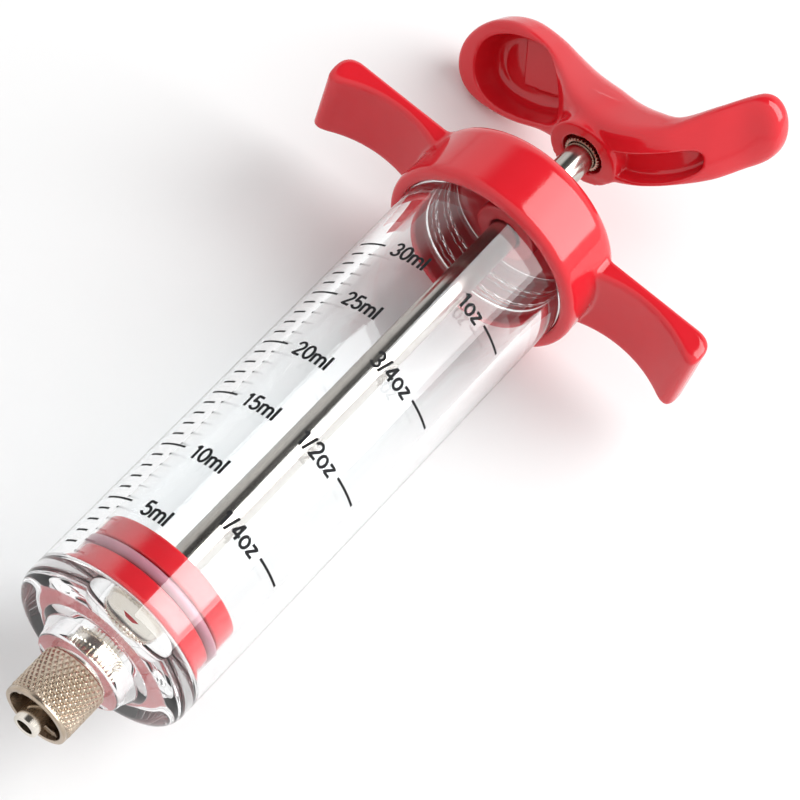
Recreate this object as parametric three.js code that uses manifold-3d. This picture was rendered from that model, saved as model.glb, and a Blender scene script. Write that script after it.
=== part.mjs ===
// Hand-operated meat injector: clear graduated barrel, metal luer-lock nozzle, plunger with a seal ring,
// finger-grip collar and palm handle. Millimetres, +X from the nozzle to the handle, +Z up.
// Stations along the axis are counted from the empty line: the plane where the barrel holds 0 ml.
import * as THREE from "three";
import { mergeVertices } from "three/addons/utils/BufferGeometryUtils.js";
import Module from "manifold-3d";

const wasm = await Module();
wasm.setup();

const ROUND = 48; // facets round a turned piece
const GAP = 0.3; // clearance left between pieces that are cut round each other

// Barrel
const BORE_R = 11.96;
const BARREL_R_NOSE = 14.35;
const BARREL_R_MOUTH = 14.7;
const END_WALL = 4.9;
const NOSE_FILLET = 2.6;
const BARREL_END = 91.4;
const THREAD_START = 82.2;
const THREAD_ROOT_R = 13.7;
const BOSS_BASE_R = 8.3;
const BOSS_RIM_R = 7.2;
const BOSS_FRONT = -8.3;
const SEAT_R = 4.75; // hole in the boss that the nozzle insert fills

// Nozzle
const SLEEVE_R = 5.25;
const SLEEVE_FRONT = -16.9;
const SLEEVE_FLOOR = 1.8;
const SOCKET_R = 4.05;
const KNURL_DEPTH = 0.28;
const TIP_R = 2.0;
const TIP_BORE_R = 1.28;
const TIP_FRONT = -19.0;
const LUG_TURN = 0.3; // share of a turn each luer lug covers

// Collar
const COLLAR_FRONT = 81.4;
const COLLAR_END = 94.1;
const COLLAR_R = 17.0;
const COLLAR_REAR_R = 16.6;
const LIP_ROUND = 1.4;
const REAR_ROUND = 1.8;
const COLLAR_BORE_R = 15.0;
const CAP_WALL = 2.4;
const GUIDE_R = 5.2;
const GUIDE_LENGTH = 4.0;
const THREAD_PITCH = 3.0;
const THREAD_TURNS = 2.4;

// Finger wings
const WING_REAR = 91.8;
const WING_TIP_Y = 35.1;
const WING_HALF_DEPTH = 7.3;
const WING_ARC_R = 18.7;
const WING_ARC_Y = 22.9;
const WING_ARC_X = 70.6;

// Plunger
const PISTON_R = 11.6;
const PISTON_FRONT = 0.2;
const PISTON_LENGTH = 9.4;
const GROOVE_R = 10.1;
const GROOVE_START = 3.85;
const GROOVE_END = 5.85;
const RING_SECTION_R = 0.86;
const ROD_R = 2.45;
const ROD_THREAD_R = 2.0;
const ROD_FRONT = 3.2;
const BUSH_R = 3.5;
const HANDLE_FACE = 108.0;
const HANDLE_INSERT_R = 3.15;
const HANDLE_INSERT_LENGTH = 7.6;

// Handle
const HANDLE_TURN = THREE.MathUtils.degToRad(149.8); // its long axis, turned about the rod from +Y
const HANDLE_BOSS_R = 6.0;
const SCOOP_END = { start: -18.0, length: 13.4 }; // where each end starts to round off, over what length
const GRIP_END = { start: 22.3, length: 4.4 };
const PALM_POWER = 2.8;
const PLAN_POWER = 2.1;
const CUP = { u: -18.0, across: -1.3, middle: 11.3, tilt: -25, halfLength: 9.8, halfWidth: 6.9, floor: 2.6 };
const SLOT = { u: 10.9, v: 0.2, halfLength: 7.1, halfWidth: 2.75, depth: 3.2 };

const materials = {
  clear: new THREE.MeshStandardMaterial({ color: 0xe8eef0, transparent: true, opacity: 0.35, roughness: 0.05 }),
  red: new THREE.MeshStandardMaterial({ color: 0xd0141e, roughness: 0.25 }),
  nickel: new THREE.MeshStandardMaterial({ color: 0xb8a98c, metalness: 1, roughness: 0.3 }),
  steel: new THREE.MeshStandardMaterial({ color: 0xb5b3ae, metalness: 1, roughness: 0.25 }),
  silicone: new THREE.MeshStandardMaterial({ color: 0xd9a0a8, roughness: 0.5 }),
};

// ---- solids and booleans ----

function solid(geometry) {
  const plain = new THREE.BufferGeometry();
  plain.setAttribute("position", geometry.getAttribute("position"));
  if (geometry.index) plain.setIndex(geometry.index);
  const merged = mergeVertices(plain, 1e-4);
  const mesh = new wasm.Mesh({
    numProp: 3,
    vertProperties: new Float32Array(merged.attributes.position.array),
    triVerts: new Uint32Array(merged.index.array),
  });
  return new wasm.Manifold(mesh);
}

function geometryOf(body) {
  const mesh = body.getMesh();
  const geometry = new THREE.BufferGeometry();
  geometry.setAttribute("position", new THREE.BufferAttribute(new Float32Array(mesh.vertProperties), 3));
  geometry.setIndex(new THREE.BufferAttribute(new Uint32Array(mesh.triVerts), 1));
  const flat = geometry.toNonIndexed();
  flat.computeVertexNormals();
  return flat;
}

function join(first, ...others) {
  return others.reduce((sum, other) => sum.add(other), first);
}

function cut(first, ...others) {
  return others.reduce((rest, other) => rest.subtract(other), first);
}

// Turns a closed outline of [station, radius] pairs round the X axis.
function turned(outline, facets = ROUND) {
  const loop = outline.map(([x, r]) => new THREE.Vector2(r, x));
  if (THREE.ShapeUtils.area(loop) < 0) loop.reverse();
  const closed = [...loop, loop[0].clone()];
  return new THREE.LatheGeometry(closed, facets).rotateZ(-Math.PI / 2);
}

// A plain disc or cylinder on the X axis.
function rod(x0, x1, r, facets = ROUND) {
  return turned([[x0, 0], [x1, 0], [x1, r], [x0, r]], facets);
}

// Points of a quarter round from angle a0 to a1 (degrees), centred on [x, r].
function fillet(x, r, radius, a0, a1, steps = 6) {
  const points = [];
  for (let i = 0; i <= steps; i++) {
    const a = THREE.MathUtils.degToRad(a0 + ((a1 - a0) * i) / steps);
    points.push([x + radius * Math.cos(a), r + radius * Math.sin(a)]);
  }
  return points;
}

// Closed skin over rings of points, each end closed by a fan from its middle.
function skin(rings) {
  const around = rings[0].length;
  const last = (rings.length - 1) * around;
  const points = rings.flat();
  const middleOf = (ring) => ring.reduce((sum, p) => sum.add(p), new THREE.Vector3()).divideScalar(around);
  const triangles = [];
  for (let j = 0; j < around; j++) {
    const k = (j + 1) % around;
    for (let a = j, b = k; a < last; a += around, b += around) {
      triangles.push(a, b, a + around, b, b + around, a + around);
    }
    triangles.push(points.length, k, j);
    triangles.push(points.length + 1, last + j, last + k);
  }
  points.push(middleOf(rings[0]), middleOf(rings[rings.length - 1]));
  const geometry = new THREE.BufferGeometry().setFromPoints(points);
  geometry.setIndex(triangles);
  return geometry;
}

// One helical ridge of trapezoid section; root and crest are radii, so either may be the larger.
function helicalRidge({ start, turns, pitch, root, crest, rootWidth, crestWidth, phase = 0 }) {
  const steps = Math.ceil(turns * 40);
  const section = [
    [-rootWidth / 2, root],
    [-crestWidth / 2, crest],
    [crestWidth / 2, crest],
    [rootWidth / 2, root],
  ];
  if (crest > root) section.reverse();
  const rings = [];
  for (let i = 0; i <= steps; i++) {
    const turn = (turns * i) / steps;
    const a = phase + turn * 2 * Math.PI;
    rings.push(
      section.map(([dx, r]) => new THREE.Vector3(start + turn * pitch + dx, r * Math.cos(a), r * Math.sin(a))),
    );
  }
  return skin(rings);
}

// ---- barrel and nozzle ----

function barrel() {
  const outerNose = [-END_WALL + NOSE_FILLET, BARREL_R_NOSE - NOSE_FILLET];
  const outline = [
    [BOSS_FRONT, SEAT_R],
    [BOSS_FRONT, BOSS_RIM_R - 0.5],
    [BOSS_FRONT + 0.5, BOSS_RIM_R],
    [BOSS_FRONT + 1.2, BOSS_RIM_R],
    [-END_WALL - 0.6, BOSS_BASE_R],
    [-END_WALL, BOSS_BASE_R + 0.8],
    ...fillet(...outerNose, NOSE_FILLET, 180, 90),
    [THREAD_START - 0.8, BARREL_R_MOUTH],
    [THREAD_START, THREAD_ROOT_R],
    [BARREL_END, THREAD_ROOT_R],
    [BARREL_END, BORE_R + 0.5],
    [BARREL_END - 0.8, BORE_R],
    [0.7, BORE_R],
    [0, BORE_R - 0.7],
    [0, SEAT_R],
  ];
  const thread = helicalRidge({
    start: THREAD_START + 1.2,
    turns: THREAD_TURNS,
    pitch: THREAD_PITCH,
    root: THREAD_ROOT_R - 0.2,
    crest: BARREL_R_MOUTH,
    rootWidth: 1.4,
    crestWidth: 0.8,
  });
  return join(solid(turned(outline)), solid(thread));
}

// Turned insert bedded in the boss: two toothed flanges with a groove between, and the tip tube in front.
function nozzleInsert() {
  const seat = SEAT_R;
  const toothed = (x0, x1) => gear(x0, x1, seat - 0.42, seat, 30);
  const body = turned([
    [TIP_FRONT, 0],
    [0, 0],
    [0, seat - 0.02],
    [-1.2, seat - 0.02],
    [-1.2, seat - 0.35],
    [-8.6, seat - 0.35],
    [-8.6, TIP_R + 0.15],
    [TIP_FRONT + 0.25, TIP_R],
    [TIP_FRONT, TIP_R - 0.15],
  ]);
  const hole = solid(rod(TIP_FRONT - 1, 1, TIP_BORE_R));
  return cut(join(solid(body), toothed(-8.0, -5.4), toothed(-4.2, -1.6)), hole);
}

// Ring of straight teeth on the X axis.
function gear(x0, x1, rootR, crestR, teeth) {
  const around = [];
  for (let i = 0; i < teeth * 2; i++) {
    const a = (i / (teeth * 2)) * 2 * Math.PI;
    const r = (i % 2 ? rootR : crestR - 0.02);
    around.push([r * Math.cos(a), r * Math.sin(a)]);
  }
  const ring = (x) => around.map(([y, z]) => new THREE.Vector3(x, y, z));
  return solid(skin([ring(x0), ring(x1)]));
}

// Diamond knurl: the radius dips along two crossing families of helices.
function knurledCylinder(x0, x1, r, depth) {
  const around = 64;
  const starts = 16;
  const rows = 20;
  const rings = [];
  for (let i = 0; i <= rows; i++) {
    const x = x0 + ((x1 - x0) * i) / rows;
    const edge = i === 0 || i === rows;
    const ring = [];
    for (let j = 0; j < around; j++) {
      const a = (j / around) * 2 * Math.PI;
      const wave = Math.abs(Math.cos(starts * a) * Math.cos((Math.PI * i) / 2));
      const other = Math.abs(Math.sin(starts * a) * Math.sin((Math.PI * i) / 2));
      const rr = edge ? r - depth : r - depth * (1 - Math.max(wave, other));
      ring.push(new THREE.Vector3(x, rr * Math.cos(a), rr * Math.sin(a)));
    }
    rings.push(ring);
  }
  return solid(skin(rings));
}

function luerLockSleeve() {
  const base = -8.6;
  const grip = knurledCylinder(SLEEVE_FRONT + 0.5, base, SLEEVE_R, KNURL_DEPTH);
  const rim = turned([
    [SLEEVE_FRONT, 0],
    [SLEEVE_FRONT + 0.6, 0],
    [SLEEVE_FRONT + 0.6, SLEEVE_R - 0.1],
    [SLEEVE_FRONT + 0.3, SLEEVE_R - 0.05],
    [SLEEVE_FRONT, SLEEVE_R - 0.3],
  ]);
  const socket = rod(SLEEVE_FRONT - 1, base - SLEEVE_FLOOR, SOCKET_R);
  const tubeHole = rod(SLEEVE_FRONT - 1, base + 1, TIP_R + 0.15 + GAP / 2);
  const lug = (phase) =>
    solid(
      helicalRidge({
        start: SLEEVE_FRONT + 0.9,
        turns: LUG_TURN,
        pitch: 5,
        root: SOCKET_R + 0.3,
        crest: SOCKET_R - 0.55,
        rootWidth: 1.0,
        crestWidth: 0.5,
        phase,
      }),
    );
  const shell = cut(join(grip, solid(rim)), solid(socket), solid(tubeHole));
  return join(shell, lug(0), lug(Math.PI));
}

// ---- collar ----

function wingOutline() {
  const y0 = COLLAR_BORE_R - 1.6;
  const inset = 0.8;
  const arcAt = (y) => WING_ARC_X + Math.sqrt(WING_ARC_R ** 2 - (y - WING_ARC_Y) ** 2);
  const shape = new THREE.Shape();
  shape.moveTo(WING_REAR - inset, y0);
  shape.lineTo(WING_REAR - inset, WING_TIP_Y - 2.4);
  shape.quadraticCurveTo(WING_REAR - inset, WING_TIP_Y - inset, WING_REAR - 2.6, WING_TIP_Y - inset);
  shape.lineTo(arcAt(WING_TIP_Y - 2) + 1.6, WING_TIP_Y - inset);
  for (let y = WING_TIP_Y - 1.9; y > y0; y -= 2) shape.lineTo(arcAt(y) + inset, y);
  shape.lineTo(arcAt(y0) + inset, y0);
  shape.closePath();
  return { shape, inset };
}

function wing() {
  const { shape, inset } = wingOutline();
  const geometry = new THREE.ExtrudeGeometry(shape, {
    depth: 2 * (WING_HALF_DEPTH - inset),
    bevelEnabled: true,
    bevelThickness: inset,
    bevelSize: inset,
    bevelSegments: 3,
    curveSegments: 6,
  });
  return geometry.translate(0, 0, -(WING_HALF_DEPTH - inset));
}

function collar() {
  const block = turned([
    [COLLAR_FRONT, 0],
    ...fillet(COLLAR_FRONT + LIP_ROUND, COLLAR_R - LIP_ROUND, LIP_ROUND, 180, 90),
    ...fillet(COLLAR_END - REAR_ROUND, COLLAR_REAR_R - REAR_ROUND, REAR_ROUND, 90, 0),
    [COLLAR_END, 0],
  ]);
  const leftWing = solid(wing());
  const rightWing = solid(wing().rotateX(Math.PI));
  const hollow = solid(rod(COLLAR_FRONT - 1, COLLAR_END - CAP_WALL, COLLAR_BORE_R));
  const guide = rod(COLLAR_END - CAP_WALL - GUIDE_LENGTH, COLLAR_END - 0.5, GUIDE_R);
  const rodHole = rod(COLLAR_FRONT, COLLAR_END + 1, ROD_R + 0.35);
  const thread = helicalRidge({
    start: THREAD_START + 1.2 + THREAD_PITCH / 2,
    turns: THREAD_TURNS - 0.6,
    pitch: THREAD_PITCH,
    root: COLLAR_BORE_R + 0.3,
    crest: THREAD_ROOT_R + GAP,
    rootWidth: 1.0,
    crestWidth: 0.6,
  });
  const shell = cut(join(solid(block), leftWing, rightWing), hollow);
  return cut(join(shell, solid(guide), solid(thread)), solid(rodHole));
}

// ---- plunger ----

function piston() {
  const end = PISTON_FRONT + PISTON_LENGTH;
  const outline = [
    [PISTON_FRONT, 0],
    [PISTON_FRONT, PISTON_R - 0.4],
    [PISTON_FRONT + 0.4, PISTON_R],
    [GROOVE_START, PISTON_R],
    [GROOVE_START, GROOVE_R],
    [GROOVE_END, GROOVE_R],
    [GROOVE_END, PISTON_R],
    [end - 0.4, PISTON_R],
    [end, PISTON_R - 0.4],
    [end, BUSH_R],
    [ROD_FRONT - 0.8, BUSH_R],
    [ROD_FRONT - 0.8, 0],
  ];
  return solid(turned(outline));
}

function pistonRing() {
  const middle = (GROOVE_START + GROOVE_END) / 2;
  const centreR = BORE_R - 0.05 - RING_SECTION_R;
  const section = fillet(middle, centreR, RING_SECTION_R, 0, 340, 17);
  return solid(turned(section));
}

function pistonBush() {
  const end = PISTON_FRONT + PISTON_LENGTH;
  const core = turned([
    [ROD_FRONT, ROD_THREAD_R + 0.05],
    [end, ROD_THREAD_R + 0.05],
    [end, BUSH_R - 0.3],
    [ROD_FRONT, BUSH_R - 0.3],
  ]);
  const middle = solid(rod(ROD_FRONT, end, ROD_THREAD_R + 0.6));
  const teeth = cut(gear(ROD_FRONT + 1, end - 1, BUSH_R - 0.36, BUSH_R, 24), middle);
  return join(solid(core), teeth);
}

function plungerRod() {
  const shoulder = PISTON_FRONT + PISTON_LENGTH + 0.05;
  const neck = HANDLE_FACE + 1.2;
  const outline = [
    [ROD_FRONT, 0],
    [ROD_FRONT, ROD_THREAD_R - 0.3],
    [ROD_FRONT + 0.3, ROD_THREAD_R],
    [shoulder, ROD_THREAD_R],
    [shoulder, ROD_R],
    [neck, ROD_R],
    [neck, ROD_THREAD_R],
    [HANDLE_FACE + HANDLE_INSERT_LENGTH - 0.3, ROD_THREAD_R],
    [HANDLE_FACE + HANDLE_INSERT_LENGTH, ROD_THREAD_R - 0.3],
    [HANDLE_FACE + HANDLE_INSERT_LENGTH, 0],
  ];
  return solid(turned(outline));
}

function handleInsert() {
  const face = HANDLE_FACE - 0.15;
  const end = HANDLE_FACE + HANDLE_INSERT_LENGTH;
  const mouthR = ROD_R + 0.15;
  const core = turned([
    [face, mouthR],
    [HANDLE_FACE + 1.3, mouthR],
    [HANDLE_FACE + 1.3, ROD_THREAD_R + 0.05],
    [end, ROD_THREAD_R + 0.05],
    [end, HANDLE_INSERT_R - 0.28],
    [face, HANDLE_INSERT_R - 0.28],
  ]);
  const middle = solid(rod(face - 1, end, mouthR + 0.12));
  const teeth = cut(gear(face + 0.02, end - 0.8, HANDLE_INSERT_R - 0.34, HANDLE_INSERT_R, 28), middle);
  return join(solid(core), teeth);
}

// ---- handle ----
// Its own frame before the turn: u (+Y) along the long axis, v (+Z) across it, heights from the boss mouth.

// Sections: [u, middle height, half height below it, half height above it, half width, sideways centre,
// tilt in degrees, power of the lower half]. A higher power is a boxier outline.
const HANDLE_ROWS = [
  [-32.0, 11.3, 3.2, 4.4, 8.5, -0.6, -25, 11.0],
  [-24.0, 11.4, 3.2, 4.4, 8.3, -1.55, -25, 11.0],
  [-18.0, 11.3, 3.2, 4.4, 7.9, -1.35, -25, 11.0],
  [-14.0, 11.1, 3.3, 4.4, 7.15, -0.85, -24, 10.0],
  [-10.0, 10.1, 3.9, 4.6, 6.45, -0.45, -21, 8.0],
  [-5.0, 8.2, 5.5, 5.0, 6.1, -0.3, -16, 6.0],
  [0.0, 6.5, 5.9, 5.5, 6.0, -0.2, -12, 5.0],
  [4.6, 5.2, 5.5, 5.5, 5.6, -0.3, -10, 5.0],
  [9.2, 4.75, 4.5, 5.0, 5.25, -0.7, -9, 5.0],
  [13.8, 5.9, 3.4, 3.6, 5.25, -0.8, -10, 4.0],
  [18.4, 9.7, 2.95, 2.95, 5.9, -0.9, -14, 3.0],
  [23.0, 14.6, 2.9, 2.9, 5.8, -1.2, -15, 2.6],
  [28.5, 16.0, 2.8, 2.8, 5.5, -1.6, -15, 2.4],
];

// Slope of one column at row i, from the rows on both sides.
function rowSlope(i, column) {
  const steepness = (k) => {
    const [a, b] = [HANDLE_ROWS[k], HANDLE_ROWS[k + 1]];
    return (b[column] - a[column]) / (b[0] - a[0]);
  };
  if (i === 0) return steepness(0);
  if (i === HANDLE_ROWS.length - 1) return steepness(i - 1);
  const before = HANDLE_ROWS[i][0] - HANDLE_ROWS[i - 1][0];
  const after = HANDLE_ROWS[i + 1][0] - HANDLE_ROWS[i][0];
  return (steepness(i - 1) * after + steepness(i) * before) / (before + after);
}

// Cubic curve through every column of the table.
function handleRow(u) {
  let i = 0;
  while (i < HANDLE_ROWS.length - 2 && HANDLE_ROWS[i + 1][0] < u) i++;
  const [low, high] = [HANDLE_ROWS[i], HANDLE_ROWS[i + 1]];
  const step = high[0] - low[0];
  const t = (u - low[0]) / step;
  return [1, 2, 3, 4, 5, 6, 7].map((c) => {
    const value = low[c] + (high[c] - low[c]) * t * t * (3 - 2 * t);
    return value + step * t * (1 - t) * ((1 - t) * rowSlope(i, c) - t * rowSlope(i + 1, c));
  });
}

// Point of a section tilted about the long axis; up is measured from the section's middle height.
function sectionPoint(u, across, up, middle, tilt) {
  const c = Math.cos(THREE.MathUtils.degToRad(tilt));
  const s = Math.sin(THREE.MathUtils.degToRad(tilt));
  return new THREE.Vector3(HANDLE_FACE + middle + across * s + up * c, u, across * c - up * s);
}

function handleSection(u) {
  const [middle, below, above, halfWidth, centre, tilt, lowerPower] = handleRow(u);
  const pastScoop = Math.max(SCOOP_END.start - u, 0) / SCOOP_END.length;
  const pastGrip = Math.max(u - GRIP_END.start, 0) / GRIP_END.length;
  const past = (pastScoop + pastGrip) ** PLAN_POWER;
  const ring = [];
  for (let j = 0; j < 32; j++) {
    const a = (j / 16) * Math.PI;
    const power = j > 16 ? lowerPower : PALM_POWER;
    const x = Math.sign(Math.cos(a)) * Math.abs(Math.cos(a)) ** (2 / power) * (1 - past) ** (1 / PLAN_POWER);
    const plan = Math.min(Math.abs(x) ** PLAN_POWER + past, 1) ** (1 / PLAN_POWER);
    const rise = (1 - plan ** power) ** (1 / power) * (j > 16 ? -below : above);
    ring.push(sectionPoint(u, centre + halfWidth * x, rise, middle, tilt));
  }
  return ring;
}

function handleBlank() {
  const rings = [];
  for (const turn of [88, 82, 75, 67, 58, 49, 40, 31, 22, 12]) {
    const past = Math.sin(THREE.MathUtils.degToRad(turn));
    rings.push(handleSection(SCOOP_END.start - SCOOP_END.length * past));
  }
  for (let i = 0; i <= 32; i++) {
    rings.push(handleSection(SCOOP_END.start + ((GRIP_END.start - SCOOP_END.start) * i) / 32));
  }
  for (const turn of [15, 31, 46, 60, 73, 83, 88]) {
    const past = Math.sin(THREE.MathUtils.degToRad(turn));
    rings.push(handleSection(GRIP_END.start + GRIP_END.length * past));
  }
  return solid(skin(rings));
}

// Ring of a rounded-rectangle outline; place(a, b) puts a point of it in space.
function outline(halfLength, halfWidth, power, place) {
  const ring = [];
  for (let j = 0; j < 36; j++) {
    const a = (j / 18) * Math.PI;
    const along = Math.sign(Math.cos(a)) * Math.abs(Math.cos(a)) ** (2 / power);
    const across = Math.sign(Math.sin(a)) * Math.abs(Math.sin(a)) ** (2 / power);
    ring.push(place(halfLength * along, halfWidth * across));
  }
  return ring;
}

// Cup of the scoop lobe: tilted with the lobe, slightly tapered, its floor stepped up towards the boss.
function cup() {
  const ring = (up, shrink) =>
    outline(CUP.halfLength - shrink, CUP.halfWidth - shrink, 2.3, (a, b) =>
      sectionPoint(CUP.u + a, CUP.across + b, up, CUP.middle, CUP.tilt),
    );
  const floor = CUP.floor;
  const hollow = solid(skin([ring(-9, 0), ring(floor - 1.4, 0.6), ring(floor - 0.4, 1.2), ring(floor, 2.2)]));
  const step = (up) => {
    const [far, near] = [CUP.u - 3.2, CUP.u + 14];
    const corners = [[far, -12], [near, -12], [near, 1.9], [far, 1.9]];
    return corners.map(([u, across]) => sectionPoint(u, across, up, CUP.middle, CUP.tilt));
  };
  return cut(hollow, solid(skin([step(floor - 0.9), step(floor + 2)])));
}

// Slot in the underside of the grip lobe, its floor following the lobe, stopping at the boss.
function slot(blank) {
  const ring = (x) =>
    outline(SLOT.halfLength, SLOT.halfWidth, 3, (a, b) => new THREE.Vector3(x, SLOT.u + a, SLOT.v + b));
  const prism = solid(skin([ring(HANDLE_FACE - 2), ring(HANDLE_FACE + 9.2)]));
  const bossKeep = solid(rod(HANDLE_FACE - 3, HANDLE_FACE + 12, HANDLE_BOSS_R + 0.4));
  return cut(prism, blank.translate([SLOT.depth, 0, 0]), bossKeep);
}

function palmHandle() {
  const f = HANDLE_FACE;
  const blank = handleBlank();
  const trimmed = cut(blank, solid(rod(f - 4, f + 0.1, 40)));
  const boss = solid(rod(f, f + 7, HANDLE_BOSS_R));
  const bore = solid(rod(f - 1, f + HANDLE_INSERT_LENGTH + 0.1, HANDLE_INSERT_R + 0.02));
  const body = cut(join(trimmed, boss), cup(), slot(blank), bore);
  return body.rotate([THREE.MathUtils.radToDeg(HANDLE_TURN), 0, 0]);
}

// ---- assembly ----

const pieces = [
  ["barrel", barrel(), materials.clear],
  ["nozzle_insert", nozzleInsert(), materials.nickel],
  ["luer_lock_sleeve", luerLockSleeve(), materials.nickel],
  ["finger_grip_collar", collar(), materials.red],
  ["piston", piston(), materials.red],
  ["piston_seal_ring", pistonRing(), materials.silicone],
  ["piston_bush", pistonBush(), materials.nickel],
  ["plunger_rod", plungerRod(), materials.steel],
  ["palm_handle", palmHandle(), materials.red],
  ["handle_insert", handleInsert(), materials.nickel],
];

const injector = new THREE.Group();
for (const [name, body, material] of pieces) {
  const mesh = new THREE.Mesh(geometryOf(body), material.clone());
  mesh.name = name;
  injector.add(mesh);
}

// The origin goes to the middle of the underside of the whole object's box.
const box = new THREE.Box3().setFromObject(injector, true);
const middle = box.getCenter(new THREE.Vector3());
for (const mesh of injector.children) mesh.geometry.translate(-middle.x, -middle.y, -box.min.z);

export default injector;
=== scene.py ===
"""Meat injector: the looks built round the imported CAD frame.

Lengths are written in millimetres and stored in metres.
"""

import math

import bmesh
import bpy
import numpy as np
from mathutils import Matrix, Vector


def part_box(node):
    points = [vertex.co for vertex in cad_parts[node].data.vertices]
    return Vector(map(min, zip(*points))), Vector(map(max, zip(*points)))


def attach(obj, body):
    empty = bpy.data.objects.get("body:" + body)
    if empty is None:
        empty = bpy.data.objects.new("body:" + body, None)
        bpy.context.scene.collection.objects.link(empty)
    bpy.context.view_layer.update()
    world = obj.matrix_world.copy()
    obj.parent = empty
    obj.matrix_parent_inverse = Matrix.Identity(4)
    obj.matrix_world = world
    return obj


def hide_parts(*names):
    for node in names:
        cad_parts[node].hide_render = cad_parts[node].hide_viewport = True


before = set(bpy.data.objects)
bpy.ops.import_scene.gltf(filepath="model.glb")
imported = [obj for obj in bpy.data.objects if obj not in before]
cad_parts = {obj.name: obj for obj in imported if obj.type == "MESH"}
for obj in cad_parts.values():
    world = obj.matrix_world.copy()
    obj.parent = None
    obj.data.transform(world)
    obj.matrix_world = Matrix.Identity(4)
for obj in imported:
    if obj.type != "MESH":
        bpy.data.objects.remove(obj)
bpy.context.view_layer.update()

MM = 0.001
TAU = 2 * math.pi

# Stations run along the barrel from the plane where it holds 0 ml; the nozzle tip is at TIP_FRONT.
# SLEEVE, COLLAR, PISTON and GROOVE are pairs of front and back stations.
TIP_FRONT = -19.0
ZERO_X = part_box("nozzle_insert")[0].x / MM - TIP_FRONT
rod_low, rod_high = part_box("plunger_rod")
AXIS_Z = (rod_low.z + rod_high.z) / 2 / MM

# Barrel
BORE_R = 11.96
BARREL_R = (14.34, 14.72)  # outside radius at the nose and at the mouth
END_WALL = 4.9
BARREL_END = 91.4
ML = 2.2247  # stroke that moves one millilitre
THREAD_START = 84.2
THREAD_ROOT_R = 13.75
THREAD_CREST_R = 14.6
THREAD_PITCH = 3.0
BOSS_FRONT = -8.3
BOSS_R = (7.1, 7.35, 8.1, 9.2)  # outside radius from its front face to the end wall
SOCKET_R = 4.75

# Nozzle
TIP_BORE_R = 1.28
BAND_R = (4.36, 4.72)  # root and crest of the toothed bands
SLEEVE = (-16.9, -8.62)
SLEEVE_R = 5.25
SLEEVE_SOCKET_R = 4.05

# Collar
COLLAR = (81.4, 94.1)
COLLAR_R = 17.05
COLLAR_TAPER = 0.035
COLLAR_BORE_R = 14.86
COLLAR_FLOOR = 91.7
WING_REACH = 35.1
WING_HALF_HEIGHT = 7.3
WING_BACK = 91.8
FINGER_R = 18.7
FINGER_CENTRE = (70.6, 22.9)  # station and distance to the side
GUIDE_R = 5.2
GUIDE_MIDDLE = 90.2
GUIDE_HALF_LENGTH = 2.8
GUIDE_HOLE_R = 2.75

# Plunger
PISTON = (0.2, 9.6)
PISTON_R = 11.6
GROOVE = (3.85, 5.85)
GROOVE_R = 10.1
BUSH_FRONT = 3.2
ROD_R = 2.45
ROD_END_R = 2.0
ROD_END = 115.6
HANDLE_FACE = 108.0
INSERT_FACE = 107.85


# ---------------------------------------------------------------- mesh helpers

def add_mesh(name, verts, faces, material, body, slot, node=None, sharp=40):
    """One shown piece from millimetre vertices [station, y, z about the barrel's axis]."""
    points = np.asarray(verts, float) + (ZERO_X, 0.0, AXIS_Z)
    mesh = bpy.data.meshes.new(name)
    mesh.from_pydata((points * MM).tolist(), [], [list(f) for f in faces])
    mesh.validate()
    tidy = bmesh.new()
    tidy.from_mesh(mesh)
    bmesh.ops.remove_doubles(tidy, verts=tidy.verts, dist=1e-8)
    bmesh.ops.recalc_face_normals(tidy, faces=tidy.faces)
    tidy.to_mesh(mesh)
    tidy.free()
    mesh.shade_smooth()
    if sharp:
        mesh.set_sharp_from_angle(angle=math.radians(sharp))
    mesh.materials.append(material)
    obj = bpy.data.objects.new(name, mesh)
    bpy.context.scene.collection.objects.link(obj)
    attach(obj, body)
    if node:
        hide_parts(node)
    return obj


def join_parts(*parts):
    """Several (verts, faces) as one."""
    verts, faces, start = [], [], 0
    for v, f in parts:
        verts.append(np.asarray(v, float).reshape(-1, 3))
        faces += [[i + start for i in face] for face in f]
        start += len(verts[-1])
    return np.vstack(verts), faces


def held_edges(outline, margin=0.2):
    """Adds points just inside the ends of long segments, so that smooth shading stays near the edges."""
    held = []
    for p, q in zip(outline, np.roll(outline, -1, axis=0)):
        held.append(p)
        length = np.hypot(*(q - p))
        if length > 4 * margin:
            held += [p + (q - p) * margin / length, q - (q - p) * margin / length]
    return np.array(held)


def lathe(profile, around=256, radius=None):
    """Turns a closed [station, radius] outline round the axis. radius(x, r, a) may shape it further."""
    outline = held_edges(np.asarray(profile, float))
    x, y = outline[:, 0], outline[:, 1]
    if np.sum(x * np.roll(y, -1) - np.roll(x, -1) * y) < 0:
        outline = outline[::-1]
    count = len(outline)
    a = np.arange(around) * TAU / around
    r = np.repeat(outline[:, 1][None, :], around, 0)
    xs = np.repeat(outline[:, 0][None, :], around, 0)
    if radius is not None:
        r = radius(xs, r, a[:, None])
    verts = np.stack([xs, r * np.cos(a)[:, None], r * np.sin(a)[:, None]], -1).reshape(-1, 3)
    faces = []
    for j in range(around):
        k = (j + 1) % around
        for i in range(count):
            n = (i + 1) % count
            if outline[i, 1] < 1e-9 and outline[n, 1] < 1e-9:
                continue
            faces.append([j * count + i, j * count + n, k * count + n, k * count + i])
    return verts, faces


def arc(cx, cy, rx, ry, start, end, steps=10):
    """Points of an elliptic arc, angles in degrees."""
    a = np.radians(np.linspace(start, end, steps + 1))
    return [(cx + rx * math.cos(t), cy + ry * math.sin(t)) for t in a]


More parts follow.
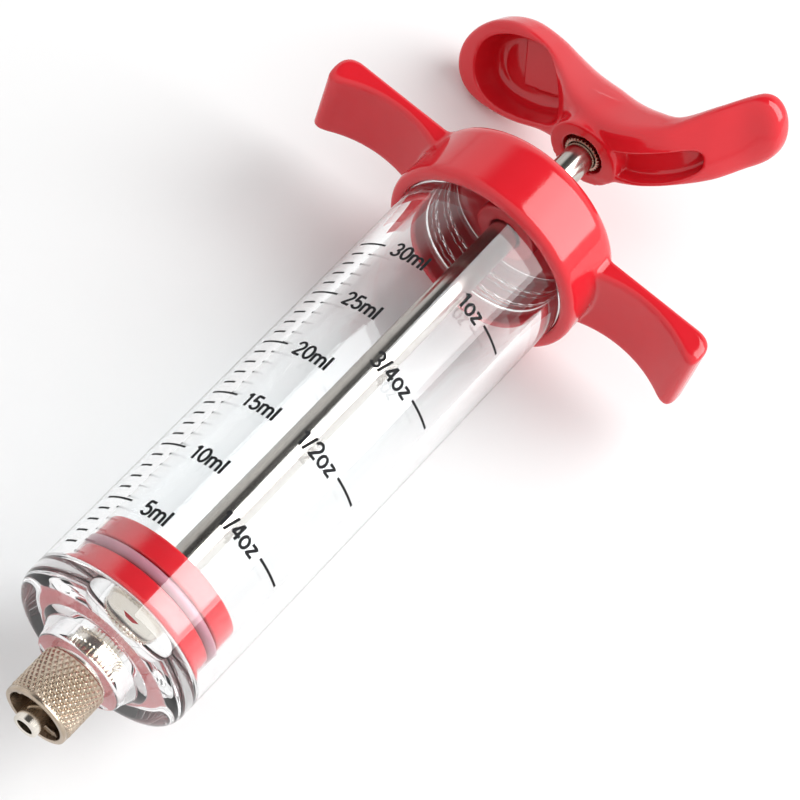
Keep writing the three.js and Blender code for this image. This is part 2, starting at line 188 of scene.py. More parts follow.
def rounded(points, radii, steps=6):
    """The corners of a closed outline rounded, each by its own radius."""
    out, count = [], len(points)
    for i, radius in enumerate(radii):
        p = np.array(points[i], float)
        before = np.array(points[i - 1], float) - p
        after = np.array(points[(i + 1) % count], float) - p
        if radius <= 0:
            out.append(tuple(p))
            continue
        lb, la = np.linalg.norm(before), np.linalg.norm(after)
        before, after = before / lb, after / la
        half = math.acos(max(-1.0, min(1.0, float(before @ after)))) / 2
        back = min(radius / math.tan(half), lb * 0.49, la * 0.49)
        for t in np.linspace(0, 1, steps + 1):
            q = p + before * back * (1 - t) ** 2 + after * back * t ** 2
            out.append(tuple(q))
    return out


# ---------------------------------------------------------------- smooth solids from distance fields

def smooth_union(a, b, k):
    h = np.clip(0.5 + 0.5 * (b - a) / k, 0, 1)
    return b + (a - b) * h - k * h * (1 - h)


def smooth_cut(a, b, k):
    return -smooth_union(-a, b, k)


def smooth_both(a, b, k):
    return -smooth_union(-a, -b, k)


def surface_of(field, low, high, step):
    """Closed quad mesh on field(x, y, z) = 0, negative inside: surface nets, then Newton steps."""
    axes = [np.arange(a - 2 * step, b + 3 * step, step) for a, b in zip(low, high)]
    values = field(*np.meshgrid(*axes, indexing="ij"))
    inside = values < 0
    shape = [n - 1 for n in inside.shape]
    total = np.zeros(shape + [3])
    count = np.zeros(shape)
    for axis in range(3):
        others = [i for i in range(3) if i != axis]
        for corner in range(4):
            offset = [0, 0, 0]
            offset[others[0]], offset[others[1]] = corner & 1, corner >> 1
            near = tuple(slice(o, o + n) for o, n in zip(offset, shape))
            offset[axis] = 1
            far = tuple(slice(o, o + n) for o, n in zip(offset, shape))
            offset[axis] = 0
            crosses = inside[near] != inside[far]
            share = np.where(crosses, values[near] / np.where(crosses, values[near] - values[far], 1), 0)
            for i in range(3):
                total[..., i] += crosses * (share if i == axis else offset[i])
            count += crosses
    used = count > 0
    index = -np.ones(shape, int)
    index[used] = np.arange(used.sum())
    cells = np.argwhere(used)
    origin = np.array([a[0] for a in axes])
    points = origin + (cells + total[used] / count[used][:, None]) * step
    for _ in range(4):
        here = field(*points.T)
        slope = np.stack(
            [field(*(points + d).T) - field(*(points - d).T) for d in np.eye(3) * step * 0.1], -1
        ) / (0.2 * step)
        move = -(here / np.maximum((slope ** 2).sum(-1), 0.05))[:, None] * slope
        points = points + np.clip(move, -step * 0.4, step * 0.4)
    faces = []
    for axis in range(3):
        i, j = [(1, 2), (2, 0), (0, 1)][axis]
        near, far = [slice(None)] * 3, [slice(None)] * 3
        near[axis], far[axis] = slice(0, -1), slice(1, None)
        crosses = inside[tuple(near)] != inside[tuple(far)]
        for edge in np.argwhere(crosses):
            ring = []
            for di, dj in ((0, 0), (1, 0), (1, 1), (0, 1)):
                cell = edge.copy()
                cell[i] -= di
                cell[j] -= dj
                ring.append(index[tuple(cell)])
            if not inside[tuple(edge)]:
                ring.reverse()
            faces.append(ring)
    return points, faces


# ---------------------------------------------------------------- materials

def new_material(name):
    material = bpy.data.materials.new(name)
    material.use_nodes = True
    nodes = material.node_tree.nodes
    return material, nodes, material.node_tree.links, nodes["Principled BSDF"]


def noise(nodes, links, scale, detail=3.0, stretch=(1, 1, 1)):
    coords = nodes.new("ShaderNodeTexCoord")
    mapping = nodes.new("ShaderNodeMapping")
    mapping.inputs["Scale"].default_value = stretch
    texture = nodes.new("ShaderNodeTexNoise")
    texture.inputs["Scale"].default_value = scale
    texture.inputs["Detail"].default_value = detail
    links.new(coords.outputs["Object"], mapping.inputs["Vector"])
    links.new(mapping.outputs["Vector"], texture.inputs["Vector"])
    return texture.outputs["Fac"]


def ramp(nodes, links, source, low, high, spread=(0.3, 0.7)):
    """source remapped between two colours or two values."""
    node = nodes.new("ShaderNodeValToRGB")
    as_colour = lambda c: (c, c, c, 1) if isinstance(c, float) else (*c, 1)
    node.color_ramp.elements[0].position, node.color_ramp.elements[1].position = spread
    node.color_ramp.elements[0].color = as_colour(low)
    node.color_ramp.elements[1].color = as_colour(high)
    links.new(source, node.inputs["Fac"])
    return node.outputs["Color"]


def bump(nodes, links, bsdf, source, strength, distance):
    node = nodes.new("ShaderNodeBump")
    node.inputs["Strength"].default_value = strength
    node.inputs["Distance"].default_value = distance
    links.new(source, node.inputs["Height"])
    links.new(node.outputs["Normal"], bsdf.inputs["Normal"])


def red_plastic(name):
    """Glossy moulded plastic: a faint flow mottling in colour, softly uneven gloss."""
    material, nodes, links, bsdf = new_material(name)
    flow = noise(nodes, links, 60, 4)
    links.new(ramp(nodes, links, flow, (0.56, 0.012, 0.020), (0.63, 0.015, 0.025)), bsdf.inputs["Base Color"])
    fine = noise(nodes, links, 700, 2)
    links.new(ramp(nodes, links, fine, 0.09, 0.14), bsdf.inputs["Roughness"])
    bsdf.inputs["IOR"].default_value = 1.52
    bsdf.inputs["Subsurface Weight"].default_value = 0.08
    bsdf.inputs["Subsurface Radius"].default_value = (0.004, 0.0006, 0.0004)
    bsdf.inputs["Subsurface Scale"].default_value = 0.4
    bump(nodes, links, bsdf, noise(nodes, links, 150, 3), 0.03, 0.0004)
    return material


def clear_plastic():
    """Clear moulded barrel. Light reaches the pieces inside through it as through thin clear plastic."""
    material, nodes, links, bsdf = new_material("clear_plastic")
    output = nodes["Material Output"]
    haze = noise(nodes, links, 90, 4)
    links.new(ramp(nodes, links, haze, 0.0, 0.03, (0.55, 0.85)), bsdf.inputs["Roughness"])
    links.new(ramp(nodes, links, haze, (0.985, 0.99, 0.99), (0.96, 0.97, 0.975)), bsdf.inputs["Base Color"])
    bsdf.inputs["Transmission Weight"].default_value = 1.0
    bsdf.inputs["IOR"].default_value = 1.49
    bump(nodes, links, bsdf, noise(nodes, links, 40, 2, (0.3, 1, 1)), 0.05, 0.0005)
    path = nodes.new("ShaderNodeLightPath")
    thin = nodes.new("ShaderNodeBsdfTransparent")
    thin.inputs["Color"].default_value = (0.9, 0.92, 0.925, 1)
    mix = nodes.new("ShaderNodeMixShader")
    links.new(path.outputs["Is Shadow Ray"], mix.inputs["Fac"])
    links.new(bsdf.outputs["BSDF"], mix.inputs[1])
    links.new(thin.outputs["BSDF"], mix.inputs[2])
    links.new(mix.outputs["Shader"], output.inputs["Surface"])
    return material


def metal(name, low, high, roughness, scale=200, stretch=(1, 1, 1), lines=0.0):
    """Plated or polished metal with a little tarnish; lines adds drawing marks along the length."""
    material, nodes, links, bsdf = new_material(name)
    tarnish = noise(nodes, links, scale, 5, stretch)
    links.new(ramp(nodes, links, tarnish, low, high), bsdf.inputs["Base Color"])
    links.new(ramp(nodes, links, tarnish, roughness[0], roughness[1]), bsdf.inputs["Roughness"])
    bsdf.inputs["Metallic"].default_value = 1.0
    if lines:
        bump(nodes, links, bsdf, noise(nodes, links, 900, 3, (0.02, 1, 1)), lines, 0.0001)
    return material


def silicone():
    material, nodes, links, bsdf = new_material("silicone")
    cloud = noise(nodes, links, 120, 3)
    links.new(ramp(nodes, links, cloud, (0.50, 0.19, 0.25), (0.60, 0.26, 0.32)), bsdf.inputs["Base Color"])
    bsdf.inputs["Roughness"].default_value = 0.35
    bsdf.inputs["Transmission Weight"].default_value = 0.25
    bsdf.inputs["IOR"].default_value = 1.41
    return material


def ink():
    material, nodes, links, bsdf = new_material("scale_ink")
    wear = noise(nodes, links, 1500, 3)
    colour = ramp(nodes, links, wear, (0.006, 0.006, 0.007), (0.022, 0.022, 0.024))
    links.new(colour, bsdf.inputs["Base Color"])
    links.new(ramp(nodes, links, wear, 0.45, 0.65), bsdf.inputs["Roughness"])
    bsdf.inputs["Specular IOR Level"].default_value = 0.12
    return material


CLEAR = clear_plastic()
RED = red_plastic("red_plastic")
NICKEL = metal("nickelled_brass", (0.40, 0.32, 0.24), (0.62, 0.52, 0.42), (0.20, 0.34))
BRIGHT = metal("bright_insert", (0.72, 0.66, 0.58), (0.86, 0.82, 0.75), (0.10, 0.20))
STEEL = metal(
    "stainless_steel", (0.40, 0.37, 0.34), (0.60, 0.57, 0.53), (0.12, 0.24), 400, (0.04, 1, 1), 0.25
)
SILICONE = silicone()
INK = ink()


# ---------------------------------------------------------------- barrel

def outer_radius(s):
    return BARREL_R[0] + (BARREL_R[1] - BARREL_R[0]) * (s + END_WALL) / (BARREL_END + END_WALL)


def thread_height(s, a, start, end, pitch, width):
    """0 to 1 profile of a helical ridge at station s and angle a, faded at both ends."""
    phase = ((s - start) / pitch - a / TAU) % 1.0
    ridge = np.clip((width - np.abs(phase - 0.5)) / (width * 0.5), 0, 1)
    fade = np.clip((s - start) / 0.6, 0, 1) * np.clip((end - s) / 0.6, 0, 1)
    return ridge * fade


def barrel():
    r0 = outer_radius(-END_WALL)
    full_r = outer_radius(THREAD_START)
    nose = [
        (0, SOCKET_R), (BOSS_FRONT, SOCKET_R), (BOSS_FRONT, BOSS_R[0]), (-7.2, BOSS_R[1]),
        (-5.6, BOSS_R[2]), (-END_WALL, BOSS_R[3]), (-END_WALL, r0), (THREAD_START - 0.9, full_r),
    ]
    nose = rounded(nose, [0, 0, 0.4, 0.6, 0.7, 0.9, 2.6, 0], 10)
    shoulder = [(THREAD_START - 0.5, full_r - 0.1), (THREAD_START - 0.25, full_r - 0.4)]
    stations = np.arange(THREAD_START, BARREL_END - 0.39, 0.1)
    mouth = [(s, THREAD_ROOT_R) for s in stations]
    rear = [(BARREL_END, THREAD_ROOT_R - 0.4), (BARREL_END, BORE_R + 0.5), (BARREL_END - 0.6, BORE_R)]
    corner = 0.9
    floor = arc(corner, BORE_R - corner, corner, corner, 90, 180, 8)

    def threaded(x, r, a):
        ridge = thread_height(x, a, THREAD_START + 0.4, BARREL_END - 1.0, THREAD_PITCH, 0.22)
        return np.where(r == THREAD_ROOT_R, r + (THREAD_CREST_R - THREAD_ROOT_R) * ridge, r)

    profile = nose + shoulder + mouth + rear + [(corner, BORE_R)] + floor[1:] + [(0, 6.0)]
    return lathe(profile, 320, threaded)


def wrap(s, distance, lift):
    """Points on the barrel's outside: s along it, distance round it from the +Y side, lifted a little."""
    s, distance = np.asarray(s, float), np.asarray(distance, float)
    r = outer_radius(s)
    a = distance / r
    return np.stack([s, (r + lift) * np.cos(a), (r + lift) * np.sin(a)], -1)


def ribbon(path, width, lift=(0.004, 0.022)):
    """A printed stroke along path [(round, along)...]: a thin closed strip wrapped on the barrel."""
    path = np.asarray(path, float)
    step = np.gradient(path, axis=0)
    step /= np.linalg.norm(step, axis=1)[:, None]
    side = np.stack([-step[:, 1], step[:, 0]], -1) * width / 2
    left, right = path + side, path - side
    rails = [wrap(p[:, 1], p[:, 0], h) for h in lift for p in (left, right)]
    n = len(path)
    verts = np.vstack(rails)
    faces = []
    for i in range(n - 1):
        for a, b in ((0, 1), (1, 3), (3, 2), (2, 0)):
            faces.append([a * n + i, b * n + i, b * n + i + 1, a * n + i + 1])
    faces += [[0, 2 * n, 3 * n, n], [n - 1, 2 * n - 1, 4 * n - 1, 3 * n - 1]]
    return verts, faces


def line(x0, y0, x1, y1, steps=8):
    t = np.linspace(0, 1, steps + 1)
    return [(x0 + (x1 - x0) * k, y0 + (y1 - y0) * k) for k in t]


# Glyph strokes on a unit cap height: (advance, [strokes]).
GLYPHS = {
    "0": (0.62, [arc(0.31, 0.5, 0.22, 0.45, 90, 450, 32)]),
    "1": (0.50, [line(0.30, 0.0, 0.30, 0.95), line(0.30, 0.93, 0.12, 0.74)]),
    "2": (0.62, [
        arc(0.31, 0.70, 0.21, 0.25, 175, -35, 18)
        + line(0.48, 0.55, 0.10, 0.05)[1:] + line(0.10, 0.05, 0.54, 0.05)[1:],
    ]),
    "3": (0.62, [arc(0.30, 0.71, 0.20, 0.24, 165, -90, 18), arc(0.30, 0.26, 0.22, 0.22, 90, -165, 18)]),
    "4": (0.62, [
        line(0.42, 0.0, 0.42, 0.95),
        line(0.42, 0.93, 0.07, 0.30) + line(0.07, 0.28, 0.58, 0.28)[1:],
    ]),
    "5": (0.62, [
        line(0.50, 0.95, 0.18, 0.95) + line(0.17, 0.94, 0.12, 0.52)[1:]
        + arc(0.30, 0.32, 0.22, 0.28, 130, -155, 20),
    ]),
    "m": (0.86, [
        line(0.09, 0.0, 0.09, 0.68),
        arc(0.255, 0.46, 0.165, 0.20, 180, 0, 14) + line(0.42, 0.45, 0.42, 0.0)[1:],
        arc(0.585, 0.46, 0.165, 0.20, 180, 0, 14) + line(0.75, 0.45, 0.75, 0.0)[1:],
    ]),
    "l": (0.26, [line(0.12, 0.0, 0.12, 1.0)]),
    "o": (0.62, [arc(0.30, 0.34, 0.22, 0.32, 90, 450, 28)]),
    "z": (0.56, [
        line(0.07, 0.62, 0.46, 0.62) + line(0.46, 0.61, 0.06, 0.06)[1:] + line(0.06, 0.05, 0.49, 0.05)[1:],
    ]),
    "/": (0.36, [line(0.04, -0.03, 0.30, 1.0)]),
}


def text_strokes(text, round_start, along, height, weight):
    """Text that runs round the barrel with its baseline at station along."""
    pen, parts = round_start, []
    for letter in text:
        advance, strokes = GLYPHS[letter]
        for stroke in strokes:
            points = np.asarray(stroke, float)
            keep = np.r_[True, np.linalg.norm(np.diff(points, axis=0), axis=1) > 1e-4]
            placed = points[keep] * height
            parts.append(ribbon(np.stack([placed[:, 0] + pen, along + placed[:, 1]], -1), weight))
        pen += advance * height
    return parts


def tick(s, from_deg, to_deg, width):
    r = outer_radius(s)
    d0, d1 = math.radians(from_deg) * r, math.radians(to_deg) * r
    return ribbon(line(d0, s, d1, s, 16), width)


def printed_scale():
    """Millilitres on one side with a long tick and a label at every fifth, quarter ounces on the other."""
    parts = []
    ml_height, ml_weight = 2.62, 0.44
    oz_height, oz_weight = 2.75, 0.46
    ml_per_quarter = 7.5
    for ml in range(1, 31):
        long = ml % 5 == 0
        parts.append(tick(ml * ML, 29.9 if long else 31.0, 51.9 if long else 41.5, 0.36))
        if long:
            start = math.radians(58) * outer_radius(ml * ML) + (0.8 if ml < 10 else 0)
            parts += text_strokes(f"{ml}ml", start, ml * ML - 1.3, ml_height, ml_weight)
    for quarter, label in enumerate(("1/4oz", "1/2oz", "3/4oz", "1oz"), 1):
        s = quarter * ml_per_quarter * ML
        parts.append(tick(s, 129.4, 150.5, 0.42))
        width = sum(GLYPHS[c][0] for c in label) * oz_height
        start = math.radians(126) * outer_radius(s) - width
        parts += text_strokes(label, start, s - 1.35, oz_height, oz_weight)
    return join_parts(*parts)


# ---------------------------------------------------------------- nozzle

def toothed(front, back, inner, root, crest, count, corner=0.08, steepness=1.2):
    """Ring of straight trapezoid teeth."""
    outline = [(front, inner), (back, inner), (back, crest), (front, crest)]

    def teeth(x, r, a):
        wave = np.clip(0.5 + steepness * np.cos(count * a), 0, 1)
        return np.where(r > root, root + (r - root) * wave, r)

    return lathe(rounded(outline, [0, 0, corner, corner], 3), count * 8, teeth)


def nozzle_insert():
    tube = [
        (0.0, TIP_BORE_R), (0.0, 4.3), (-8.7, 4.3), (-8.7, 2.15), (TIP_FRONT, 1.95), (TIP_FRONT, TIP_BORE_R),
    ]
    return join_parts(
        lathe(rounded(tube, [0.2, 0.2, 0.1, 0.1, 0.28, 0.18], 5), 128),
        toothed(-8.15, -5.5, 1.3, *BAND_R, 44),
        toothed(-4.1, -1.5, 1.3, *BAND_R, 44),
    )


def luer_sleeve():
    """Knurled with crossing diagonal grooves, open at the front, its base round the nozzle."""
    front, base = SLEEVE
    floor, hole_r = base - 1.6, 2.3
    rim = [(front, SLEEVE_SOCKET_R + 0.15), (front, SLEEVE_R - 0.1), (front + 0.55, SLEEVE_R - 0.05)]
    outline = rounded(rim, [0.15, 0.2, 0], 4) + [(front + 0.75, SLEEVE_R - 0.22)]
    outline += [(s, SLEEVE_R) for s in np.linspace(front + 1.0, base - 0.35, 110)]
    outline += [(base - 0.2, SLEEVE_R - 0.3), (base, SLEEVE_R - 0.35)]
    outline += [(base, hole_r), (floor, hole_r), (floor, SLEEVE_SOCKET_R)]
    count, lead, depth = 34, 0.72, 0.30

    def knurl(x, r, a):
        twist = count * a
        along = (x - front) * TAU / lead * 0.5
        diamond = np.maximum(np.abs(np.sin(twist + along)), np.abs(np.sin(twist - along)))
        low = np.minimum(np.abs(np.cos(0.5 * (twist + along))), np.abs(np.cos(0.5 * (twist - along))))
        return np.where(r == SLEEVE_R, SLEEVE_R - depth * (1 - low) ** 1.5 * (0.6 + 0.4 * diamond), r)

    body = lathe(outline, 544, knurl)
    return join_parts(body, lug(0.4), lug(0.4 + math.pi))


def lug(turn):
    """One of the two inside ledges that a needle hub turns under."""
    steps, parts = 24, []
    front, lead, sweep = -16.0, 1.0, 1.5
    section = rounded([(-0.5, 4.15), (-0.3, 3.5), (0.3, 3.5), (0.5, 4.15)], [0, 0.12, 0.12, 0], 3)
    for i in range(steps + 1):
        a = turn + sweep * i / steps
        s = front + lead * i / steps
        parts.append([[s + x, r * math.cos(a), r * math.sin(a)] for x, r in section])
    n = len(section)
    verts = np.array(parts).reshape(-1, 3)
    faces = [[i * n + j, i * n + (j + 1) % n, (i + 1) * n + (j + 1) % n, (i + 1) * n + j]
             for i in range(steps) for j in range(n)]
    faces += [list(range(n))[::-1], [steps * n + j for j in range(n)]]
    return verts, faces


# ---------------------------------------------------------------- collar

def collar_field(x, y, z):
    """Tapered ring with two wings, hollow to its floor, and a rod guide standing on the floor."""
    front, back = COLLAR
    r = np.hypot(y, z)
    side = np.abs(y)
    outer_r = COLLAR_R - COLLAR_TAPER * (x - front)
    ring = smooth_both(smooth_both(r - outer_r, front - x, 1.6), x - back, 3.2)
    finger = FINGER_R - np.hypot(x - FINGER_CENTRE[0], side - FINGER_CENTRE[1])
    plan = smooth_both(smooth_both(finger, x - WING_BACK, 0.7), side - WING_REACH, 3.0)
    wing = smooth_both(plan, np.abs(z) - WING_HALF_HEIGHT, 1.2)
    wing = np.maximum(wing, 13.0 - side)
    body = smooth_union(ring, wing, 0.8)
    hollow = np.maximum(r - COLLAR_BORE_R, x - COLLAR_FLOOR)
    body = smooth_cut(body, hollow, 0.35)
    guide = np.maximum(r - GUIDE_R, np.abs(x - GUIDE_MIDDLE) - GUIDE_HALF_LENGTH)
    body = smooth_union(body, guide, 0.5)
    return np.maximum(body, GUIDE_HOLE_R - r)


def collar():
    half_height = COLLAR_R + 0.05
    low = (COLLAR[0], -WING_REACH, -half_height)
    high = (COLLAR[1], WING_REACH, half_height)
    return surface_of(collar_field, low, high, 0.3)


# ---------------------------------------------------------------- plunger

def piston():
    """Grooved for the seal ring, with a ring-shaped recess in its back round the bush."""
    front, back = PISTON
    recess_floor, bush_r, bush_floor = 8.2, 3.5, 2.4
    profile = [
        (front, 0.0), (front, PISTON_R), (GROOVE[0], PISTON_R), (GROOVE[0], GROOVE_R),
        (GROOVE[1], GROOVE_R), (GROOVE[1], PISTON_R), (back, PISTON_R), (back, 9.6),
        (recess_floor, 9.2), (recess_floor, 5.2), (back, 4.8), (back, bush_r),
        (bush_floor, bush_r), (bush_floor, 0.0),
    ]
    radii = [0, 0.45, 0.25, 0.2, 0.2, 0.25, 0.5, 0.3, 0.4, 0.4, 0.3, 0.1, 0, 0]
    return lathe(rounded(profile, radii, 5), 256)


def seal_ring():
    middle = (GROOVE[0] + GROOVE[1]) / 2
    return lathe(arc(middle, 11.05, 0.86, 0.88, 0, 345, 23), 256)


def piston_bush():
    front, back, inner, outer = BUSH_FRONT, PISTON[1], ROD_END_R + 0.05, 3.1
    core = lathe([(front, inner), (back, inner), (back, outer), (front, outer)], 96)
    return join_parts(core, toothed(4.2, 8.6, 1.3, 3.14, 3.45, 32))


def rod():
    """Steps down to its threaded ends, one in the piston's bush and one in the handle's insert."""
    front, back = 9.65, 109.2
    profile = [
        (BUSH_FRONT, 0.0), (BUSH_FRONT, ROD_END_R), (front, ROD_END_R), (front, ROD_R),
        (back, ROD_R), (back, ROD_END_R), (ROD_END, ROD_END_R), (ROD_END, 0.0),
    ]
    return lathe(rounded(profile, [0, 0.3, 0, 0.15, 0.15, 0, 0.3, 0], 4), 128)


def handle_insert():
    """Sleeve round the rod's end with a serrated rim that shows in the handle's boss."""
    mouth_r, outer_r, seat = 2.6, 2.85, 109.3
    hole_r = ROD_END_R + 0.05
    outline = [
        (INSERT_FACE, mouth_r), (seat, mouth_r), (seat, hole_r), (ROD_END, hole_r),
        (ROD_END, outer_r), (INSERT_FACE, outer_r),
    ]
    core = lathe(rounded(outline, [0.08, 0, 0, 0, 0, 0.1], 3), 96)
    return join_parts(core, toothed(INSERT_FACE + 0.02, 115.0, 2.7, 2.9, 3.13, 30, 0.1, 1.1))


# ---------------------------------------------------------------- palm handle
# Its own frame: u along the long axis, v across it, h from the boss mouth away from the barrel.

HANDLE_TURN = math.radians(149.8)
# Sections along u: middle height, half height below and above it, half width, sideways centre,
# tilt in degrees, crispness of the lower edges.
HANDLE_ROWS = np.array([
    [-32.0, 11.3, 3.2, 4.4, 8.5, -0.6, -25, 8.0],
    [-24.0, 11.4, 3.2, 4.4, 8.3, -1.55, -25, 8.0],
    [-18.0, 11.3, 3.2, 4.4, 7.9, -1.35, -25, 8.0],
    [-14.0, 11.1, 3.3, 4.4, 7.15, -0.85, -24, 8.0],
    [-10.0, 10.1, 3.9, 4.6, 6.45, -0.45, -21, 7.0],
    [-5.0, 8.2, 5.5, 5.0, 6.1, -0.3, -16, 6.0],
    [0.0, 6.5, 5.9, 5.5, 6.0, -0.2, -12, 5.0],
    [4.6, 5.2, 5.5, 5.5, 5.6, -0.3, -10, 5.0],
    [9.2, 4.75, 4.5, 5.0, 5.25, -0.7, -9, 5.0],
    [13.8, 5.9, 3.4, 3.6, 5.25, -0.8, -10, 4.0],
    [18.4, 9.7, 2.95, 2.95, 5.9, -0.9, -14, 3.0],
    [23.0, 14.6, 2.9, 2.9, 5.8, -1.2, -15, 2.6],
    [28.5, 16.0, 2.8, 2.8, 5.5, -1.6, -15, 2.4],
])
SCOOP_END = (-18.0, 13.4)  # where each end starts to round off, and over what length
GRIP_END = (22.3, 4.4)
PALM_POWER = 2.8
PLAN_POWER = 2.1
HANDLE_BOSS_R = 6.0
HANDLE_BOSS_DEPTH = 7.0
INSERT_HOLE = (3.7, 7.8)  # radius and depth
CUP_CENTRE = (-18.1, -1.2)
CUP_SIZE = (9.5, 6.6, 2.3)  # half length, half width, power of the outline
CUP_FLOOR = 2.6
SLOT_CENTRE = (10.9, 0.2)
SLOT_SIZE = (7.1, 2.75, 3.0)
SLOT_DEPTH = 3.2


def along_rows(u, column):
    """Cubic curve through one column of the handle's rows."""
    x, y = HANDLE_ROWS[:, 0], HANDLE_ROWS[:, column]
    slope = np.gradient(y, x)
    u = np.clip(u, x[0], x[-1])
    i = np.clip(np.searchsorted(x, u) - 1, 0, len(x) - 2)
    h = x[i + 1] - x[i]
    t = (u - x[i]) / h
    return (
        y[i] * (2 * t ** 3 - 3 * t ** 2 + 1) + h * slope[i] * (t ** 3 - 2 * t ** 2 + t)
        + y[i + 1] * (3 * t ** 2 - 2 * t ** 3) + h * slope[i + 1] * (t ** 3 - t ** 2)
    )


def superellipse(a, b, size_a, size_b, power):
    rho = np.maximum((np.abs(a / size_a) ** power + np.abs(b / size_b) ** power) ** (1 / power), 1e-6)
    return np.hypot(a, b) * (1 - 1 / rho)


def section_axes(v, h, tilt):
    """Coordinates across and up in a section turned by tilt."""
    c, s = np.cos(tilt), np.sin(tilt)
    return v * c + h * s, -v * s + h * c


def handle_blank(u, across, up, below, above, half_w, crisp):
    """Rounded sections along a curved middle line, boxier below than on the palm side, with domed ends."""
    past = np.maximum(SCOOP_END[0] - u, 0) / SCOOP_END[1] + np.maximum(u - GRIP_END[0], 0) / GRIP_END[1]
    plan = (np.abs(across / half_w) ** PLAN_POWER + past ** PLAN_POWER) ** (1 / PLAN_POWER)
    power = np.where(up < 0, crisp, PALM_POWER)
    rise = np.abs(up) / np.where(up < 0, below, above)
    rho = np.maximum((plan ** power + rise ** power) ** (1 / power), 1e-6)
    reach = np.where(u < 0, SCOOP_END[1], GRIP_END[1])
    length = np.sqrt(across ** 2 + up ** 2 + (past * reach) ** 2)
    return length * (1 - 1 / rho)


def handle_field(h, u, v):
    middle, below, above, half_w, centre, tilt, crisp = (along_rows(u, c) for c in range(1, 8))
    across, up = section_axes(v, h - middle, np.radians(tilt))
    body = handle_blank(u, across - centre, up, below, above, half_w, crisp)
    body = smooth_both(body, 0.1 - h, 0.8)
    from_rod = np.hypot(u, v)
    boss = np.maximum(from_rod - HANDLE_BOSS_R, np.maximum(-h, h - HANDLE_BOSS_DEPTH))
    body = smooth_union(body, boss, 0.9)
    # Cup in the scoop lobe, its floor stepped up towards the boss.
    block = np.maximum(-21.2 - u, across - 1.9)
    cup_floor = up - CUP_FLOOR + 0.9 * np.clip(0.5 - block / 0.3, 0, 1)
    cup_wall = superellipse(u - CUP_CENTRE[0], across - CUP_CENTRE[1], *CUP_SIZE) + 0.14 * (up + 3.2)
    cup = smooth_both(cup_wall, cup_floor, 1.8)
    body = smooth_cut(body, cup, 0.7)
    # Slot in the underside of the grip lobe, stopping at the boss.
    slot = superellipse(u - SLOT_CENTRE[0], v - SLOT_CENTRE[1], *SLOT_SIZE)
    slot = smooth_both(slot, up + below - SLOT_DEPTH, 1.0)
    slot = smooth_both(slot, HANDLE_BOSS_R + 0.4 - from_rod, 0.5)
    body = smooth_cut(body, slot, 0.6)
    return np.maximum(body, np.minimum(INSERT_HOLE[0] - from_rod, INSERT_HOLE[1] - h))


def palm_handle():
    points, faces = surface_of(handle_field, (-1.0, -33.2, -12.0), (21.0, 29.0, 12.0), 0.3)
    h, u, v = points.T
    c, s = math.cos(HANDLE_TURN), math.sin(HANDLE_TURN)
    return np.stack([HANDLE_FACE + h, u * c - v * s, u * s + v * c], -1), faces


# ---------------------------------------------------------------- the object

# Name, shape, material, body, slot, node it replaces, angle in degrees from which an edge stays sharp.
PIECES = [
    ("clear_barrel", barrel, CLEAR, "barrel_group", "clear_plastic", "barrel", 50),
    ("printed_scale", printed_scale, INK, "barrel_group", "clear_plastic", None, 30),
    ("toothed_nozzle_insert", nozzle_insert, BRIGHT, "barrel_group", "nickelled_brass", "nozzle_insert", 30),
    ("knurled_luer_sleeve", luer_sleeve, NICKEL, "barrel_group", "nickelled_brass", "luer_lock_sleeve", 60),
    ("winged_collar", collar, RED, "barrel_group", "red_plastic", "finger_grip_collar", 0),
    ("grooved_piston", piston, RED, "plunger", "red_plastic", "piston", 40),
    ("seal_ring", seal_ring, SILICONE, "seal_ring", "silicone", "piston_seal_ring", 60),
    ("threaded_piston_bush", piston_bush, BRIGHT, "plunger", "nickelled_brass", "piston_bush", 30),
    ("steel_rod", rod, STEEL, "plunger", "stainless_steel", "plunger_rod", 40),
    ("curved_palm_handle", palm_handle, RED, "plunger", "red_plastic", "palm_handle", 0),
    ("serrated_handle_insert", handle_insert, NICKEL, "plunger", "nickelled_brass", "handle_insert", 30),
]

for name, shape, material, body, slot, node, sharp in PIECES:
    add_mesh(name, *shape(), material, body, slot, node, sharp)


# ---------------------------------------------------------------- studio

def floor():
    size = 4.0
    mesh = bpy.data.meshes.new("studio_floor")
    corners = [(-size, -size, 0), (size, -size, 0), (size, size, 0), (-size, size, 0)]
    mesh.from_pydata(corners, [], [(0, 1, 2, 3)])
    obj = bpy.data.objects.new("studio_floor", mesh)
    obj.location.z = -0.2 * MM  # clear of the lowest piece
    material, _, _, bsdf = new_material("pale_floor")
    bsdf.inputs["Base Color"].default_value = (0.80, 0.80, 0.80, 1)
    bsdf.inputs["Roughness"].default_value = 0.6
    bsdf.inputs["Specular IOR Level"].default_value = 0.1
    mesh.materials.append(material)
    bpy.context.scene.collection.objects.link(obj)


def softbox(name, direction, distance, size, power):
    """Area light aimed at the barrel's middle; its first side lies across the barrel."""
    away = Vector(direction).normalized()
    across = Vector((1, 0, 0)).cross(away).normalized()
    data = bpy.data.lights.new(name, "AREA")
    data.shape = "RECTANGLE"
    data.size, data.size_y = size
    data.energy = power
    obj = bpy.data.objects.new(name, data)
    turn = Matrix((across, away.cross(across), away)).transposed().to_4x4()
    obj.matrix_world = Matrix.Translation(Vector((0, 0, AXIS_Z * MM)) + away * distance) @ turn
    bpy.context.scene.collection.objects.link(obj)


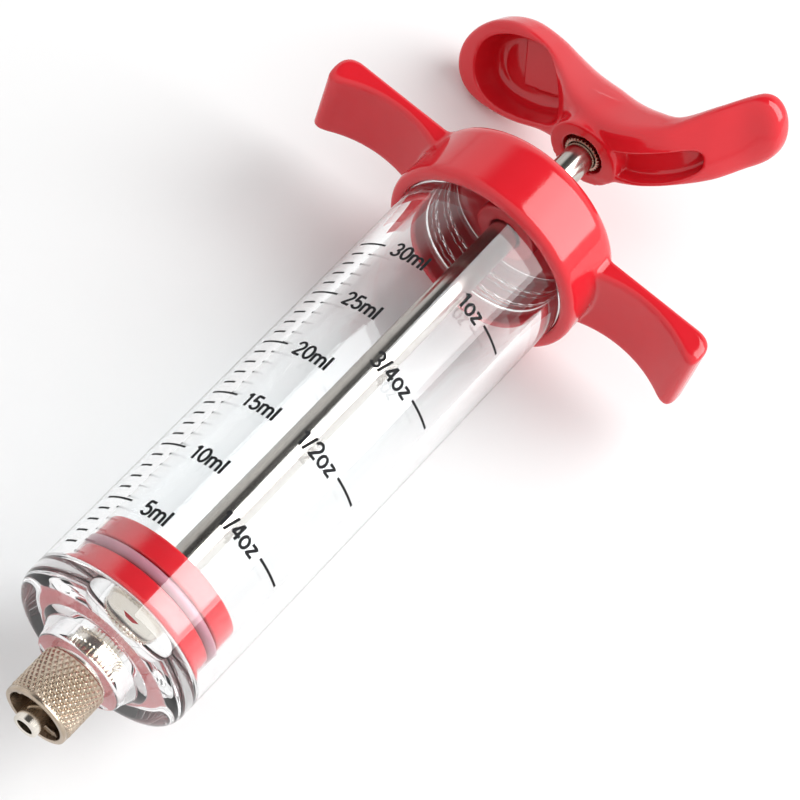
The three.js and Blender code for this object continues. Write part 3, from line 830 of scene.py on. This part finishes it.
def studio():
    floor()
    world = bpy.data.worlds.new("studio")
    world.use_nodes = True
    nodes, links = world.node_tree.nodes, world.node_tree.links
    background = nodes["Background"]
    background.inputs["Color"].default_value = (1, 1, 1, 1)
    # A pale room with a dark patch overhead, between the key light and the left side.
    coords = nodes.new("ShaderNodeTexCoord")
    facing = nodes.new("ShaderNodeVectorMath")
    facing.operation = "DOT_PRODUCT"
    facing.inputs[1].default_value = (0.51, 0.16, 0.845)
    links.new(coords.outputs["Generated"], facing.inputs[0])
    gradient = nodes.new("ShaderNodeMapRange")
    gradient.inputs["From Min"].default_value = 0.78
    gradient.inputs["From Max"].default_value = 0.93
    gradient.inputs["To Min"].default_value = 1.0
    gradient.inputs["To Max"].default_value = 0.08
    gradient.interpolation_type = "SMOOTHSTEP"
    links.new(facing.outputs["Value"], gradient.inputs["Value"])
    links.new(gradient.outputs["Result"], background.inputs["Strength"])
    bpy.context.scene.world = world
    # Light takes many turns inside the thick clear nose before it gets out.
    paths = bpy.context.scene.cycles
    paths.max_bounces = paths.transmission_bounces = 24
    paths.glossy_bounces = 16
    softbox("key", (0.54, -0.54, 0.65), 0.62, (0.66, 0.40), 4.2)


def camera():
    """Looks down on the barrel from its nozzle end, rolled so that the tool runs up the frame."""
    aim = Vector((1.10, -6.00, AXIS_Z)) * MM
    distance = 423.645 * MM
    turn, pitch, roll = math.radians(17.836), math.radians(60.378), math.radians(23.490)
    level = math.cos(pitch)
    forward = Vector((math.cos(turn) * level, math.sin(turn) * level, -math.sin(pitch)))
    data = bpy.data.cameras.new("camera")
    data.lens, data.sensor_width = 132.46, 36.0
    data.clip_start, data.clip_end = 0.01, 20
    obj = bpy.data.objects.new("camera", data)
    rotation = forward.to_track_quat("-Z", "Y").to_matrix() @ Matrix.Rotation(roll, 3, "Z")
    obj.matrix_world = Matrix.Translation(aim - forward * distance) @ rotation.to_4x4()
    bpy.context.scene.collection.objects.link(obj)
    bpy.context.scene.camera = obj


studio()
camera()
bpy.context.scene.view_settings.view_transform = "Standard"
